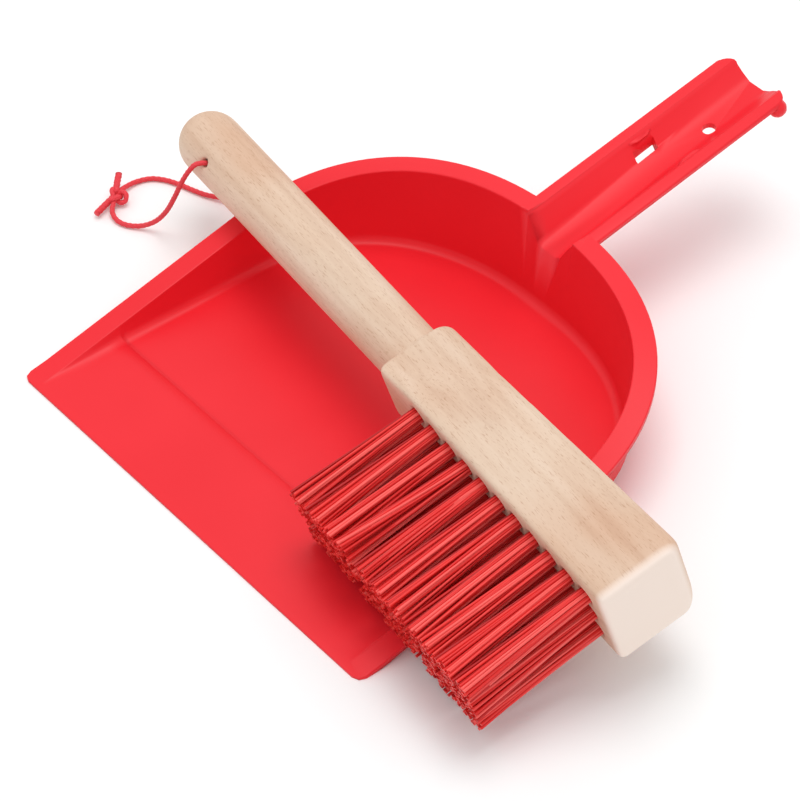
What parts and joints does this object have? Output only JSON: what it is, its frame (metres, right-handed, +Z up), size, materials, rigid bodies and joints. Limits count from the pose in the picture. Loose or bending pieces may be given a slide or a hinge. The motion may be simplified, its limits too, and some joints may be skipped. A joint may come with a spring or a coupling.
{
  "type": "dust pan and brush set",
  "caption": "Moulded plastic dust pan with an open channel handle and a wooden hand brush lying across it, with a knotted hanging cord.",
  "frame": {"origin": "on the flat underside of the pan, on its middle line, 85 mm behind the lip", "axes": "+X along the pan's lip, towards the brush's block; +Y from the lip back to the pan's handle; +Z up"},
  "size_m": [0.2761, 0.234, 0.0533],
  "materials": {
    "pan_plastic": "injection moulded polypropylene, satin gloss",
    "beech": "sanded and left unvarnished",
    "bristle": "bundled plastic filament",
    "cord": "thin braided cord"
  },
  "bodies": {
    "pan": {"dust_pan": "pan_plastic"},
    "brush": {"brush_block": "beech", "tuft_1_01": "bristle", "tuft_1_02": "bristle", "tuft_1_03": "bristle", "tuft_1_04": "bristle", "tuft_1_05": "bristle", "tuft_1_06": "bristle", "tuft_1_07": "bristle", "tuft_1_08": "bristle", "tuft_1_09": "bristle", "tuft_1_10": "bristle", "tuft_1_11": "bristle", "tuft_2_01": "bristle", "tuft_2_02": "bristle", "tuft_2_03": "bristle", "tuft_2_04": "bristle", "tuft_2_05": "bristle", "tuft_2_06": "bristle", "tuft_2_07": "bristle", "tuft_2_08": "bristle", "tuft_2_09": "bristle", "tuft_2_10": "bristle", "tuft_2_11": "bristle", "tuft_3_01": "bristle", "tuft_3_02": "bristle", "tuft_3_03": "bristle", "tuft_3_04": "bristle", "tuft_3_05": "bristle", "tuft_3_06": "bristle", "tuft_3_07": "bristle", "tuft_3_08": "bristle", "tuft_3_09": "bristle", "tuft_3_10": "bristle", "tuft_3_11": "bristle", "cord_loop": "cord", "cord_knot": "cord"}
  },
  "joints": [
    {"name": "brush_lift", "type": "slide", "parent": "pan", "child": "brush", "axis": [0, 0, 1], "range_m": [0, 0.2]}
  ]
}
